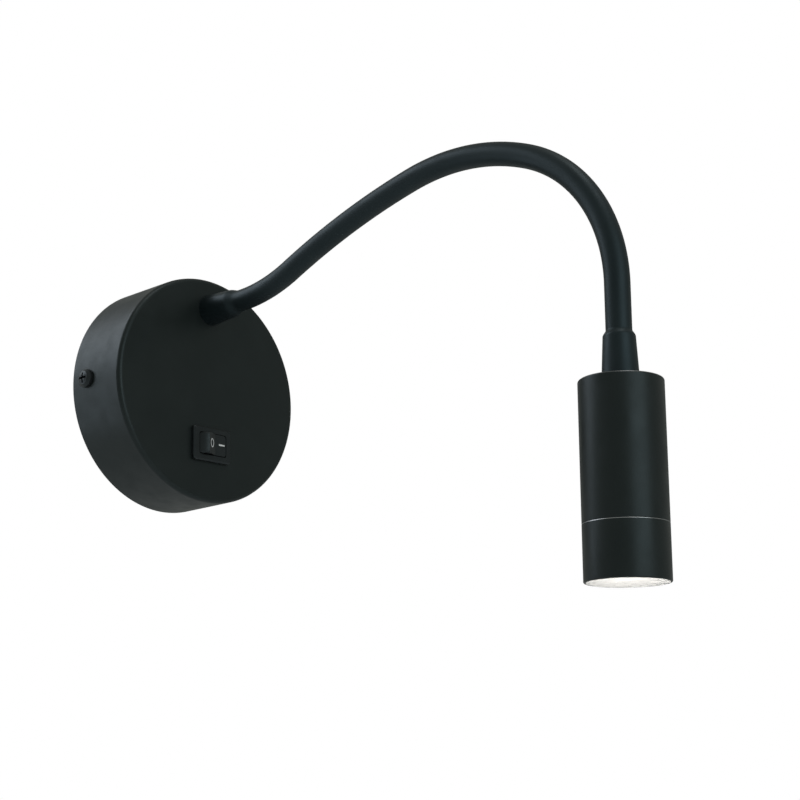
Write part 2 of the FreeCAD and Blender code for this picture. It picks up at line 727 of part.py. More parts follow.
def driver_components():
    """Transformer, smoothing capacitors, input filter and the small parts, standing on the board."""
    out = driver_span()[1]
    foot = out[0] + BOARD_BACK + BOARD_T
    z = DRIVER_Z
    third = DRIVER_W / 3
    parts = [on_board(0, foot, z, TRANSFORMER_W, TRANSFORMER_H, TALL_PART),
             on_board(-third, foot, z + FILTER_H, FILTER_W, FILTER_H, SHORT_PART),
             on_board(third, foot, z, CHIP_W, CHIP_H, CHIP_T)]
    for x, dz, size, tall in ((-third, -FILTER_H, BIG_CAN_D, TALL_PART),
                              (third, FILTER_H, SMALL_CAN_D, SHORT_PART),
                              (third, -FILTER_H, SMALL_CAN_D, SHORT_PART)):
        parts.append(rod(at(x, foot, z + dz), OUTWARD, size, tall))
    return Part.makeCompound(parts)


def on_board(x, foot, z, width, height, tall):
    return block((x - width / 2, x + width / 2), (foot, foot + tall), (z - height / 2, z + height / 2))


# ---- switch --------------------------------------------------------------------------------------
PIVOT_OUT = FACE + BEZEL_T - PIVOT_BELOW_BEZEL
HALF_THROW = ROCKER_THROW / 2


def in_switch(x, out):
    """A point in the switch's middle plane, out measured from the wall."""
    return at(x, out, SWITCH_Z)


def switch_tilt(solid, pivot_out, angle):
    """Turn about the switch's vertical pivot; a positive angle presses the right-hand end in."""
    turned_solid = solid.copy()
    turned_solid.rotate(in_switch(0, pivot_out), Z_AXIS, angle)
    return turned_solid


def rounded_drum(radius, height, corner_r):
    """A cylinder about the switch's pivot with rounded rims; rocker and opening share its shape."""
    drum = rod(at(0, PIVOT_OUT, SWITCH_Z - height / 2), Z_AXIS, 2 * radius, height)
    rims = [e for e in drum.Edges if isinstance(e.Curve, Part.Circle)]
    return drum.makeFillet(corner_r, rims)


def switch_body():
    middle = in_switch(0, FACE)
    bezel = rounded_prism(BEZEL_W, BEZEL_H, BEZEL_CORNER_R, middle, BEZEL_T)
    front = [e for e in bezel.Edges if e.BoundBox.YMax < -FACE - BEZEL_T + 1e-4]
    bezel = bezel.makeChamfer(BEZEL_BEVEL, front)
    body = block((-HOUSING_W / 2, HOUSING_W / 2), (FACE - HOUSING_DEPTH, FACE),
                 (SWITCH_Z - HOUSING_H / 2, SWITCH_Z + HOUSING_H / 2))
    body = fused([bezel, body] + [switch_clip(s) for s in (-1, 1)])
    radius = ROCKER_END_R + ROCKER_PLAY
    opening = rounded_drum(radius, ROCKER_W + 2 * ROCKER_PLAY, ROCKER_CORNER_R)
    opening = opening.common(block((-radius, radius), (FACE + BEZEL_T - WELL_DEPTH, FACE + BEZEL_T + OVER),
                                   (SWITCH_Z - BEZEL_H, SWITCH_Z + BEZEL_H)))
    well = block((-WELL_W / 2, WELL_W / 2), (FACE - HOUSING_DEPTH + HOUSING_FLOOR, FACE),
                 (SWITCH_Z - WELL_H / 2, SWITCH_Z + WELL_H / 2))
    reach = ROCKER_W + 2 * PIVOT_STUB + 2 * SCREW_PLAY
    pivots = rod(at(0, PIVOT_OUT, SWITCH_Z - reach / 2), Z_AXIS, PIVOT_D + 2 * SCREW_PLAY, reach)
    half_t, half_w = TAB_T / 2 + SCREW_PLAY, TAB_W / 2 + SCREW_PLAY
    slots = [block((x - half_t, x + half_t), (0, FACE - HOUSING_DEPTH + HOUSING_FLOOR),
                   (SWITCH_Z - half_w, SWITCH_Z + half_w)) for x in (0, -SIDE_TAB_X)]
    return body.cut(fused([opening, well, pivots])).cut(fused(slots))


def switch_clip(side):
    """Wedge on the housing's end that snaps behind the canopy's face."""
    base = HOUSING_W / 2
    top = FACE_BACK - FIT
    low, high = SWITCH_Z - HOUSING_H / 4, SWITCH_Z + HOUSING_H / 4
    points = [at(side * base, top - CLIP_L, low), at(side * base, top, low),
              at(side * (base + CLIP_PROUD), top, low)]
    return Part.Face(Part.makePolygon(points + points[:1])).extrude(V(0, 0, high - low))


def rocker_profile():
    """Outline of the rocker at mid travel: a shallow V on top, arcs about the pivot at the ends."""
    pivot = in_switch(0, PIVOT_OUT)
    face_rise = PIVOT_BELOW_BEZEL + ROCKER_FLUSH      # pivot to a pressed half's face
    corner = degrees(atan2(face_rise, sqrt(ROCKER_END_R ** 2 - face_rise ** 2))) + HALF_THROW
    low = corner - ROCKER_SKIRT

    def rim(angle, side):
        return pivot + at(side * ROCKER_END_R * cos(radians(angle)), ROCKER_END_R * sin(radians(angle)), 0)

    dip = pivot + at(0, face_rise / cos(radians(HALF_THROW)), 0)
    edges = [Part.LineSegment(rim(corner, -1), dip), Part.LineSegment(dip, rim(corner, 1)),
             Part.Arc(rim(corner, 1), rim((corner + low) / 2, 1), rim(low, 1)),
             Part.LineSegment(rim(low, 1), rim(low, -1)),
             Part.Arc(rim(low, -1), rim((corner + low) / 2, -1), rim(corner, -1))]
    return Part.Face(Part.Wire([e.toShape() for e in edges]))


def switch_rocker():
    face = rocker_profile()
    face.translate(V(0, 0, -ROCKER_W / 2))
    paddle = face.extrude(V(0, 0, ROCKER_W)).common(rounded_drum(ROCKER_END_R, ROCKER_W, ROCKER_CORNER_R))
    hub = rod(at(0, PIVOT_OUT, SWITCH_Z - ROCKER_W / 2), Z_AXIS, HUB_D, ROCKER_W)
    web = block((-HUB_D / 2, HUB_D / 2), (PIVOT_OUT, PIVOT_OUT + PIVOT_BELOW_BEZEL - SEAT),
                (SWITCH_Z - ROCKER_W / 2, SWITCH_Z + ROCKER_W / 2))
    pins_l = ROCKER_W + 2 * PIVOT_STUB
    pins = rod(at(0, PIVOT_OUT, SWITCH_Z - pins_l / 2), Z_AXIS, PIVOT_D, pins_l)
    stem = rod(in_switch(0, PIVOT_OUT), Y_AXIS, STEM_D, STEM_REACH)
    rocker = fused([paddle, hub, web, pins, stem])
    bore_start = in_switch(0, PIVOT_OUT - PLUNGER_REACH + PLUNGER_L + SPRING_L)
    rocker = rocker.cut(rod(bore_start, Y_AXIS, PLUNGER_D + 2 * FIT, STEM_REACH + SPRING_L))
    return switch_tilt(rocker, PIVOT_OUT, HALF_THROW)


def switch_plunger():
    tip = PIVOT_OUT - PLUNGER_REACH
    body = rod(in_switch(0, tip + PLUNGER_D / 2), OUTWARD, PLUNGER_D, PLUNGER_L - PLUNGER_D / 2)
    ball = Part.makeSphere(PLUNGER_D / 2, in_switch(0, tip + PLUNGER_D / 2))
    return switch_tilt(fused([body, ball]), PIVOT_OUT, HALF_THROW)


def switch_spring():
    """Compression spring between plunger and rocker, as its envelope."""
    start = in_switch(0, PIVOT_OUT - PLUNGER_REACH + PLUNGER_L)
    spring = pipe(start, OUTWARD, PLUNGER_D, PLUNGER_D - 2 * SPRING_WIRE, SPRING_L)
    return switch_tilt(spring, PIVOT_OUT, HALF_THROW)


def contact_out():
    """Mid height of the see-saw contact, just clear of the plunger at mid travel."""
    return PIVOT_OUT - PLUNGER_REACH - CONTACT_T / 2 - CONTACT_GAP / 2


def switch_contact():
    middle = contact_out()
    strip = block((-CONTACT_L / 2, CONTACT_L / 2), (middle - CONTACT_T / 2, middle + CONTACT_T / 2),
                  (SWITCH_Z - CONTACT_W / 2, SWITCH_Z + CONTACT_W / 2))
    return switch_tilt(strip, middle, -CONTACT_TILT)


def switch_terminals():
    """Middle terminal under the see-saw's pivot, side terminal under its left arm."""
    tail = FACE - HOUSING_DEPTH - TAB_L
    z = (SWITCH_Z - TAB_W / 2, SWITCH_Z + TAB_W / 2)
    inner_z = (SWITCH_Z - CONTACT_W / 2, SWITCH_Z + CONTACT_W / 2)
    under = contact_out() - CONTACT_T / 2 - CONTACT_GAP
    floor = FACE - HOUSING_DEPTH + HOUSING_FLOOR
    middle = fused([block((-TAB_T / 2, TAB_T / 2), (tail, floor), z),
                    block((-TAB_T / 2, TAB_T / 2), (floor, under), inner_z)])
    reach = CONTACT_L / 2 - LANDING_INSET
    landing = contact_out() - reach * sin(radians(CONTACT_TILT)) - CONTACT_T / 2 - CONTACT_GAP
    side = fused([block((-SIDE_TAB_X - TAB_T / 2, -SIDE_TAB_X + TAB_T / 2), (tail, landing), z),
                  block((-SIDE_TAB_X, -reach + LANDING_L), (landing - TAB_T, landing), inner_z)])
    return Part.makeCompound([middle, side])


# ---- leads in the canopy -------------------------------------------------------------------------
def tab_end(x):
    """Point on a switch terminal's tail where a lead is soldered."""
    return at(x, FACE - HOUSING_DEPTH - TAB_L / 2, SWITCH_Z)


def live_leads():
    """Mains live to the switch's middle terminal, and switched live on to the driver."""
    run_z = BLOCK_Z - BLOCK_H / 2 - LIVE_DROP
    first, out = pole_xs()[0], insert_out()
    near_x = TAB_T / 2
    far_x = near_x + LEAD_WIRE_D / 2 + LIVE_SIDE
    feed = lead([at(first, out, BLOCK_Z - LEAD_STRIP), at(first, out, run_z), at(far_x, out, run_z),
                 tab_end(far_x), tab_end(near_x)], LEAD_WIRE_D, LEAD_WIRE_D)
    up_x = driver_mains_xs()[0]
    onward = lead([tab_end(-SIDE_TAB_X - TAB_T / 2), tab_end(up_x),
                   at(up_x, live_out(), SWITCH_Z + LIVE_RISE),
                   at(up_x, live_out(), driver_span()[2][0] + DRIVER_WALL)], LEAD_WIRE_D, LEAD_WIRE_D)
    return Part.makeCompound([feed, onward])


def neutral_lead():
    """Neutral from the terminal block's upper side to the driver."""
    x = pole_xs()[1]
    up_x = driver_mains_xs()[1]
    low = driver_span()[2][0]
    between = (low + BLOCK_Z + BLOCK_H / 2) / 2
    return lead([at(x, insert_out(), BLOCK_Z + LEAD_STRIP), at(x, insert_out(), between),
                 at(up_x, live_out(), between), at(up_x, live_out(), low + DRIVER_WALL)],
                LEAD_WIRE_D, LEAD_WIRE_D)


def earth_lead():
    """Earth from the block's far pole, round below the switch, to the tag."""
    x = pole_xs()[-1]
    out = insert_out()
    low_z = -sqrt((CANOPY_IN_R - LEAD_EDGE_GAP - LEAD_WIRE_D / 2) ** 2 - x ** 2)
    turn_x = tag_edge() + TAG_LEAD_RUN
    end_x = tag_edge() + TAG_NECK_L - TAG_BARREL_WALL + TAG_BARREL_END
    return lead([at(x, out, BLOCK_Z - LEAD_STRIP), at(x, out, low_z), at(turn_x, tag_lead_out(), low_z),
                 at(turn_x, tag_lead_out(), EARTH_Z), at(end_x, tag_lead_out(), EARTH_Z)],
                LEAD_WIRE_D, LEAD_WIRE_D)


# ---- head ----------------------------------------------------------------------------------------
def in_head(down, across=0.0, sideways=0.0):
    """A point in the head: distance below its top, and offsets along and across X."""
    return HEAD_TOP + HEAD_AXIS * down + X_AXIS * across + HEAD_AXIS.cross(X_AXIS) * sideways


def head_turned(profile):
    return turned(profile, HEAD_TOP, HEAD_AXIS)


BODY_IN_R = HEAD_D / 2 - HEAD_WALL
LENS_FRONT = HEAD_L - MOUTH_DEPTH - MOUTH_LAND - SEAL_T


def head_body():
    radius = HEAD_D / 2
    body = head_turned([(STUB_D / 2 + HOLE_PLAY, 0), (radius, 0), (radius, BODY_L - SEAM_BEVEL),
                        (radius - SEAM_BEVEL, BODY_L), (BODY_IN_R, BODY_L), (BODY_IN_R, HEAD_WALL),
                        (STUB_D / 2 + HOLE_PLAY, HEAD_WALL)])
    return body.makeFillet(HEAD_EDGE_R, circle_edges(body, radius, HEAD_TOP))


def front_ring():
    """Screwed on below the body: a collar inside it, and the mouth's sloping lip."""
    radius = HEAD_D / 2
    collar = BODY_IN_R - THREAD_PLAY
    lip = HEAD_L - MOUTH_DEPTH - MOUTH_LAND
    bore = LENS_D / 2 + FIT
    return head_turned([(collar, BODY_L - THREAD_L), (collar, BODY_L), (radius - SEAM_BEVEL, BODY_L),
                        (radius, BODY_L + SEAM_BEVEL), (radius, HEAD_L - RIM_BEVEL),
                        (radius - RIM_BEVEL, HEAD_L), (MOUTH_EDGE_D / 2, HEAD_L),
                        (MOUTH_D / 2, HEAD_L - MOUTH_DEPTH), (MOUTH_D / 2, lip), (bore, lip),
                        (bore, BODY_L - THREAD_L)])


def lens():
    """Round diffusing lens with a slightly crowned front."""
    radius = LENS_D / 2
    crown_r = radius - LENS_RIM
    bulge = (crown_r ** 2 + LENS_CROWN ** 2) / (2 * LENS_CROWN)
    disc = rod(in_head(LENS_FRONT - LENS_T), HEAD_AXIS, LENS_D, LENS_T)
    crown = Part.makeSphere(bulge, in_head(LENS_FRONT + LENS_CROWN - bulge))
    crown = crown.common(rod(in_head(LENS_FRONT), HEAD_AXIS, 2 * crown_r, 2 * LENS_CROWN))
    return fused([disc, crown])


def lens_seal():
    """Flat rubber ring between the lens and the lip."""
    return head_turned([(MOUTH_D / 2 + SEAT, LENS_FRONT), (LENS_D / 2, LENS_FRONT),
                        (LENS_D / 2, LENS_FRONT + SEAL_T), (MOUTH_D / 2 + SEAT, LENS_FRONT + SEAL_T)])


def heat_sink():
    """Grooved aluminium plug that carries the light board."""
    radius = SINK_D / 2
    top = SINK_BOTTOM - SINK_L
    profile = [(0, top), (radius, top)]
    pitch = SINK_L / SINK_GROOVES
    for k in range(SINK_GROOVES):
        start = top + pitch * k + (pitch - SINK_GROOVE_W) / 2
        root = radius - SINK_GROOVE_DEPTH
        end = start + SINK_GROOVE_W
        profile += [(radius, start), (root, start), (root, end), (radius, end)]
    sink = head_turned(profile + [(radius, SINK_BOTTOM), (0, SINK_BOTTOM)])
    cuts = [rod(in_head(top - OVER, LEAD_OFFSET), HEAD_AXIS, SINK_BORE, SINK_L + 2 * OVER)]
    cuts += led_screw_holes(SINK_BOTTOM - LED_SCREW_L, LED_SCREW_L)
    return sink.cut(fused(cuts))


def led_screw_points(down):
    return [in_head(down, 0, s * LED_SCREW_CIRCLE / 2) for s in (-1, 1)]


def led_screw_holes(down, depth):
    return [rod(p, HEAD_AXIS, LED_SCREW_D + 2 * SCREW_PLAY, depth) for p in led_screw_points(down)]


def led_board():
    board = rod(in_head(SINK_BOTTOM), HEAD_AXIS, LED_BOARD_D, LED_BOARD_T)
    depth = LED_BOARD_T + 2 * OVER
    cuts = [rod(in_head(SINK_BOTTOM - OVER, LEAD_OFFSET), HEAD_AXIS, SINK_BORE, depth)]
    return board.cut(fused(cuts + led_screw_holes(SINK_BOTTOM - OVER, depth)))


def led_emitter():
    """Square light-emitting package with a clear dome."""
    foot = SINK_BOTTOM + LED_BOARD_T
    half = LED_SIZE / 2
    corners = [in_head(foot, a * half, b * half) for a, b in ((-1, -1), (1, -1), (1, 1), (-1, 1))]
    chip = Part.Face(Part.makePolygon(corners + corners[:1])).extrude(HEAD_AXIS * LED_T)
    clear_dome = Part.makeSphere(LED_DOME_R, in_head(foot + LED_T), HEAD_AXIS, 0, 90, 360)
    return fused([chip, clear_dome])


def board_screws():
    seat = SINK_BOTTOM + LED_BOARD_T
    return Part.makeCompound([pan_screw(p, HEAD_AXIS * -1, LED_SCREW_D, LED_SCREW_HEAD_D, LED_SCREW_HEAD_H,
                                        LED_SCREW_L) for p in led_screw_points(seat)])


def reflector():
    """Thin cone from the light to the lens, held between the board and the lens."""
    small = REFLECTOR_SMALL_D / 2
    wide = LENS_D / 2 - FIT
    start = SINK_BOTTOM + LED_BOARD_T + LED_SCREW_HEAD_H + SEAT
    end = LENS_FRONT - LENS_T
    return head_turned([(small, start), (small + REFLECTOR_T, start), (wide, end - REFLECTOR_T),
                        (wide, end), (wide - REFLECTOR_T, end)])


# ---- all pieces ----------------------------------------------------------------------------------
def pieces():
    root = at(0, FACE, NECK_Z)
    found = {
        "canopy_shell": canopy_shell(), "wall_plate": wall_plate(), "canopy_screws": canopy_screws(),
        "entry_grommet": entry_grommet(), "terminal_block": terminal_block(),
        "terminal_inserts": terminal_inserts(), "terminal_screws": terminal_screws(),
        "plate_screws": plate_screws(), "earth_tag": earth_tag(), "driver_tape": driver_tape(),
        "driver_case": driver_case(), "driver_lid": driver_lid(), "driver_board": driver_board(),
        "driver_components": driver_components(), "switch_body": switch_body(),
        "switch_rocker": switch_rocker(), "switch_plunger": switch_plunger(),
        "switch_spring": switch_spring(), "switch_contact": switch_contact(),
        "switch_terminals": switch_terminals(), "live_leads": live_leads(),
        "neutral_lead": neutral_lead(), "earth_lead": earth_lead(),
        "root_ferrule": ferrule(root, OUTWARD, ROOT_FERRULE_L),
        "root_nut": lock_nut(at(0, FACE_BACK, NECK_Z), Y_AXIS),
        "head_ferrule": ferrule(HEAD_TOP, HEAD_AXIS * -1, HEAD_FERRULE_L),
        "head_nut": lock_nut(in_head(HEAD_WALL), HEAD_AXIS),
        "head_body": head_body(), "heat_sink": heat_sink(), "led_board": led_board(),
        "led_emitter": led_emitter(), "board_screws": board_screws(), "reflector": reflector(),
        "lens": lens(), "lens_seal": lens_seal(), "front_ring": front_ring(),
    }
    for name, sections in (("sleeve", neck_sleeves()), ("core", neck_cores()), ("led_lead", neck_leads())):
        for index, solid in enumerate(sections):
            found[f"{name}_{index}"] = solid
    return found


def main():
    os.makedirs("parts", exist_ok=True)
    for name, shape in pieces().items():
        shape.exportStep(os.path.join("parts", name + ".step"))
        box = shape.BoundBox
        size = " x ".join(f"{length:.1f}" for length in (box.XLength, box.YLength, box.ZLength))
        print(f"{name:20s} solids {len(shape.Solids)}  valid {shape.isValid()}  "
              f"{shape.Volume:9.1f} mm3  {size}")


main()
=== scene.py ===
import json
from math import atan2, cos, pi, radians, sin, tan

import bpy
from mathutils import Matrix, Vector

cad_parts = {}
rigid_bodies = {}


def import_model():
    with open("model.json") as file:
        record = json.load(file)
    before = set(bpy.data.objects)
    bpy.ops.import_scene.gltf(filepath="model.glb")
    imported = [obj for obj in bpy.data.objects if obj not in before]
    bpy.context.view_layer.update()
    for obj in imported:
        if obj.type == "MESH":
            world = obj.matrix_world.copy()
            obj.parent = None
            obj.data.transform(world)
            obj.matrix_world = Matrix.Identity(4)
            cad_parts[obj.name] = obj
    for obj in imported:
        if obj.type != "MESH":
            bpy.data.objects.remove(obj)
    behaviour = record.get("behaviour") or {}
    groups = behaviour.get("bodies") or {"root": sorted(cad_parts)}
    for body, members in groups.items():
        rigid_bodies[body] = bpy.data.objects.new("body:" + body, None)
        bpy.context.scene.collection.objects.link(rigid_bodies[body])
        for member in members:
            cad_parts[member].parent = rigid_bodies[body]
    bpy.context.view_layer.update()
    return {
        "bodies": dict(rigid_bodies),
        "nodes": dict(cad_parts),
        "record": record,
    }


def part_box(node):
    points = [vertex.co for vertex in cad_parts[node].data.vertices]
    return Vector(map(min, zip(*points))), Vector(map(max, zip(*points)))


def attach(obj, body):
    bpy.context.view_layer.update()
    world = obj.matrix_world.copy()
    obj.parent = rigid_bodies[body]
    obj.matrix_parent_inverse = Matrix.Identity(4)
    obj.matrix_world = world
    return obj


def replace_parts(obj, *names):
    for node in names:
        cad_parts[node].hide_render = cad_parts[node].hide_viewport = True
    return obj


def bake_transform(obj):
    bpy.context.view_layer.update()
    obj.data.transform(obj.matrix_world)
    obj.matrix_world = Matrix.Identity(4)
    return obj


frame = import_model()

# Bedside wall reading lamp. Metres; the wall is y = 0 and the lamp reaches out towards -Y.
MM = 0.001
X_AXIS, Z_AXIS = Vector((1, 0, 0)), Vector((0, 0, 1))

# ---- sizes shared with the construction ----------------------------------------------
FACE_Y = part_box("canopy_shell")[0][1]
NECK_Z = 36.0 * MM
NECK_R = 9.3 / 2 * MM
SLEEVE_IN_R = 7.1 / 2 * MM
ROOT_STRAIGHT = 20.0 * MM
# Each arc's radius and its turn in degrees, plus is upwards.
BENDS = ((79.0 * MM, 23.0), (330.0 * MM, -12.5), (97.0 * MM, -35.5), (63.0 * MM, -66.5))
TAIL_STRAIGHT = 35.0 * MM
ROOT_FERRULE_L = 15.0 * MM
HEAD_FERRULE_L = 13.0 * MM
SHOULDER = 5.0 * MM
ROOT_FLARE_FOOT_R = 6.85 * MM
ROOT_FLARE_TIP_R = 5.95 * MM
FERRULE_FOOT_R = 6.02 * MM
FERRULE_TIP_R = 5.12 * MM
HEAD_R = 15.0 * MM
HEAD_L = 70.0 * MM
BODY_L = 50.0 * MM
HEAD_BORE_R = 13.5 * MM
STUB_HOLE_R = 5.2 * MM
TOP_WALL = 1.5 * MM
MOUTH_R = 10.5 * MM
MOUTH_EDGE_R = 14.2 * MM
MOUTH_DEPTH = 3.0 * MM
MOUTH_LAND = 0.8 * MM
LENS_SEAT_R = 12.4 * MM
THREAD_L = 6.0 * MM
SWITCH_Z = -25.0 * MM
BEZEL_T = 2.0 * MM
PIVOT_BELOW_BEZEL = 4.6 * MM
ROCKER_FLUSH = 0.2 * MM
ROCKER_THROW = 26.0

# ---- sizes of the scene's own detail -------------------------------------------------
EARLY_SHOULDER = 1.0 * MM       # how far before the root ferrule's end the skin starts to narrow
HEAD_FLARE_FOOT_R = 6.65 * MM
HEAD_FLARE_TIP_R = 5.80 * MM
HEAD_FLARE_L = 15.6 * MM
TOP_FILLET = 0.8 * MM
SEAM_FILLET = 0.25 * MM
LIP_FILLET = 0.4 * MM
COLLAR_PLAY = 0.1 * MM
TOP_HIGHLIGHT_SHARE = (0.05, 0.6)        # the part of the top fillet's depth that carries a painted highlight
FACE_SLACK = 0.05 * MM
LINE_FROM_DIP = 3.7 * MM
ZERO_FROM_DIP = 3.2 * MM
MARK_RISE = 0.3 * MM
PRINT_LIFT = 0.03 * MM

# ---- grain of the finishes -----------------------------------------------------------
NOISE_SPAN = (0.3, 0.7)         # nearly all values of a noise texture lie in here
WANDER_PER_PATCH = 2.3          # how much finer the roughness wanders than the colour
PATCH_DETAIL = 3.0
GRAIN_DEPTH = 0.2 * MM

# ---- studio --------------------------------------------------------------------------
LAMP_MIDDLE = (0, -0.12, -0.02)
# Name, place, aim, width and height, watts and colour.
LIGHTS = (
    ("window", (-0.60, 0.85, 0.85), (0, -0.02, 0), (0.8, 0.8), 4.2, (0.86, 0.91, 1.0)),
    ("left_fill", (-0.27, 0.25, 0.02), (-0.02, -0.10, -0.02), (0.15, 0.35), 0.17,
     (0.82, 0.88, 1.0)),
    ("front_softbox", (-0.28, -1.60, 0.30), LAMP_MIDDLE, (1.1, 1.1), 4.8, (0.86, 0.96, 1.0)),
    ("overhead", (0.0, -0.55, 1.20), LAMP_MIDDLE, (0.5, 0.5), 1.6, (1, 1, 1)),
)
CAMERA_PLACE = (-0.4585, -0.5534, -0.1830)
CAMERA_AZIMUTH, CAMERA_ELEVATION, CAMERA_ROLL = radians(-48.1), radians(-14.32), radians(-1.39)
FOCAL_PX, FRAME_PX, SENSOR_MM = 1637.0, 800.0, 36.0


# ---- the neck's route ----------------------------------------------------------------
# Each stretch's length and its turn in degrees, from the canopy to the head.
STRETCHES = ([(ROOT_STRAIGHT, 0.0)] + [(r * radians(abs(turn)), turn) for r, turn in BENDS]
             + [(TAIL_STRAIGHT, 0.0)])


def direction_of(heading):
    """Unit vector in the plane x = 0, heading degrees above straight out of the wall."""
    return Vector((0, -cos(radians(heading)), sin(radians(heading))))


def neck_at(distance):
    """Point and heading on the neck's centre line, measured from the canopy's face."""
    point, heading = Vector((0, FACE_Y, NECK_Z)), 0.0
    for length, turn in STRETCHES:
        part = min(distance, length)
        if part > 0:
            swept = turn * part / length
            half = radians(abs(swept)) / 2
            chord = part * (sin(half) / half if half else 1.0)
            point = point + direction_of(heading + swept / 2) * chord
            heading += swept
        distance -= part
    return point, heading


NECK_L = sum(length for length, _ in STRETCHES)
HEAD_TOP, HEAD_HEADING = neck_at(NECK_L)
HEAD_AXIS = direction_of(HEAD_HEADING).normalized()
NECK_BODIES = ["base"] + sorted(b for b in frame["bodies"] if b.startswith("link_")) + ["head"]
NECK_JOINTS = len(NECK_BODIES) - 1
FLEX_START = ROOT_FERRULE_L + SHOULDER
FLEX_END = NECK_L - HEAD_FERRULE_L - SHOULDER
PITCH = (FLEX_END - FLEX_START) / NECK_JOINTS


# ---- mesh helpers --------------------------------------------------------------------
def add_object(name, vertices, faces, material, sharp=35.0):
    """A smooth-shaded mesh object whose edges over sharp degrees stay crisp."""
    mesh = bpy.data.meshes.new(name)
    mesh.from_pydata([tuple(v) for v in vertices], [], faces)
    mesh.validate()
    mesh.polygons.foreach_set("use_smooth", [True] * len(mesh.polygons))
    mesh.set_sharp_from_angle(angle=radians(sharp))
    mesh.update()
    piece = bpy.data.objects.new(name, mesh)
    bpy.context.scene.collection.objects.link(piece)
    piece.data.materials.append(material)
    return piece


def ring(centre, side, other, radius, segments):
    """Points of a circle; side and other are unit vectors in its plane."""
    return [centre + (side * cos(a) + other * sin(a)) * radius
            for a in (2 * pi * k / segments for k in range(segments))]


def rings_to_mesh(rings):
    """Quads between successive rings of points, and from the last ring to the first."""
    count = len(rings[0])
    vertices = [p for points in rings for p in points]
    faces = []
    for i in range(len(rings)):
        here, there = i * count, ((i + 1) % len(rings)) * count
        for k in range(count):
            n = (k + 1) % count
            faces.append((here + k, here + n, there + n, there + k))
    return vertices, faces


def turned(name, profile, material, segments=128):
    """A closed solid of revolution about the head's axis; profile is a loop of (radius, depth)."""
    side = HEAD_AXIS.cross(X_AXIS).normalized()
    other = HEAD_AXIS.cross(side)
    rings = [ring(HEAD_TOP + HEAD_AXIS * depth, side, other, radius, segments)
             for radius, depth in profile]
    return add_object(name, *rings_to_mesh(rings), material)


def rounded(profile, steps=6):
    """Round a loop's corners: entries are (radius, distance, fillet)."""
    result = []
    count = len(profile)
    for i, (r, d, fillet) in enumerate(profile):
        here = Vector((r, d))
        before = Vector(profile[i - 1][:2]) - here
        after = Vector(profile[(i + 1) % count][:2]) - here
        if not fillet:
            result.append((r, d))
            continue
        turn = before.angle(after)
        cut = fillet / tan(turn / 2)
        start, end = here + before.normalized() * cut, here + after.normalized() * cut
        bisector = (before.normalized() + after.normalized()).normalized()
        centre = here + bisector * (fillet / sin(turn / 2))
        a0 = atan2(start.y - centre.y, start.x - centre.x)
        a1 = atan2(end.y - centre.y, end.x - centre.x)
        sweep = (a1 - a0 + pi) % (2 * pi) - pi
        for k in range(steps + 1):
            a = a0 + sweep * k / steps
            result.append((centre.x + fillet * cos(a), centre.y + fillet * sin(a)))
    return result


# ---- node materials ------------------------------------------------------------------
def new_material(name):
    """A node material with its nodes and links."""
    material = bpy.data.materials.new(name)
    material.use_nodes = True
    return material, material.node_tree.nodes, material.node_tree.links


def noise(nodes, links, coordinates, scale, detail=2.0):
    """Value of a noise texture; a larger scale is finer."""
    texture = nodes.new("ShaderNodeTexNoise")
    texture.inputs["Scale"].default_value = scale
    texture.inputs["Detail"].default_value = detail
    links.new(coordinates, texture.inputs["Vector"])
    return texture.outputs["Fac"]


def spread(nodes, links, value, low, high):
    """Map a noise value to low..high."""
    ramp = nodes.new("ShaderNodeMapRange")
    ramp.inputs["From Min"].default_value = NOISE_SPAN[0]
    ramp.inputs["From Max"].default_value = NOISE_SPAN[1]
    ramp.inputs["To Min"].default_value = low
    ramp.inputs["To Max"].default_value = high
    links.new(value, ramp.inputs["Value"])
    return ramp.outputs["Result"]


def blend_colours(nodes, links, factor, first, second):
    """Colour that goes from first to second with the factor."""
    mix = nodes.new("ShaderNodeMix")
    mix.data_type = "RGBA"
    mix.inputs["A"].default_value = (*first, 1)
    mix.inputs["B"].default_value = (*second, 1)
    links.new(factor, mix.inputs["Factor"])
    return mix.outputs["Result"]


def finish(name, dark, light, roughness, grain=2600.0, bump=0.04, metallic=0.0, specular=0.5,
           patch=55.0, sheen_tint=(1, 1, 1), rough_spread=0.05):
    """A surface with two-tone patches, roughness that wanders and a fine grain in the bump."""
    material, nodes, links = new_material(name)
    shader = nodes["Principled BSDF"]
    coordinates = nodes.new("ShaderNodeTexCoord").outputs["Object"]
    patches = noise(nodes, links, coordinates, patch, PATCH_DETAIL)
    links.new(blend_colours(nodes, links, spread(nodes, links, patches, 0, 1), dark, light),
              shader.inputs["Base Color"])
    wander = noise(nodes, links, coordinates, patch * WANDER_PER_PATCH)
    links.new(spread(nodes, links, wander, roughness - rough_spread, roughness + rough_spread),
              shader.inputs["Roughness"])
    relief = nodes.new("ShaderNodeBump")
    relief.inputs["Strength"].default_value = bump
    relief.inputs["Distance"].default_value = GRAIN_DEPTH
    links.new(noise(nodes, links, coordinates, grain), relief.inputs["Height"])
    links.new(relief.outputs["Normal"], shader.inputs["Normal"])
    shader.inputs["Metallic"].default_value = metallic
    shader.inputs["Specular IOR Level"].default_value = specular
    shader.inputs["Specular Tint"].default_value = (*sheen_tint, 1)
    return material


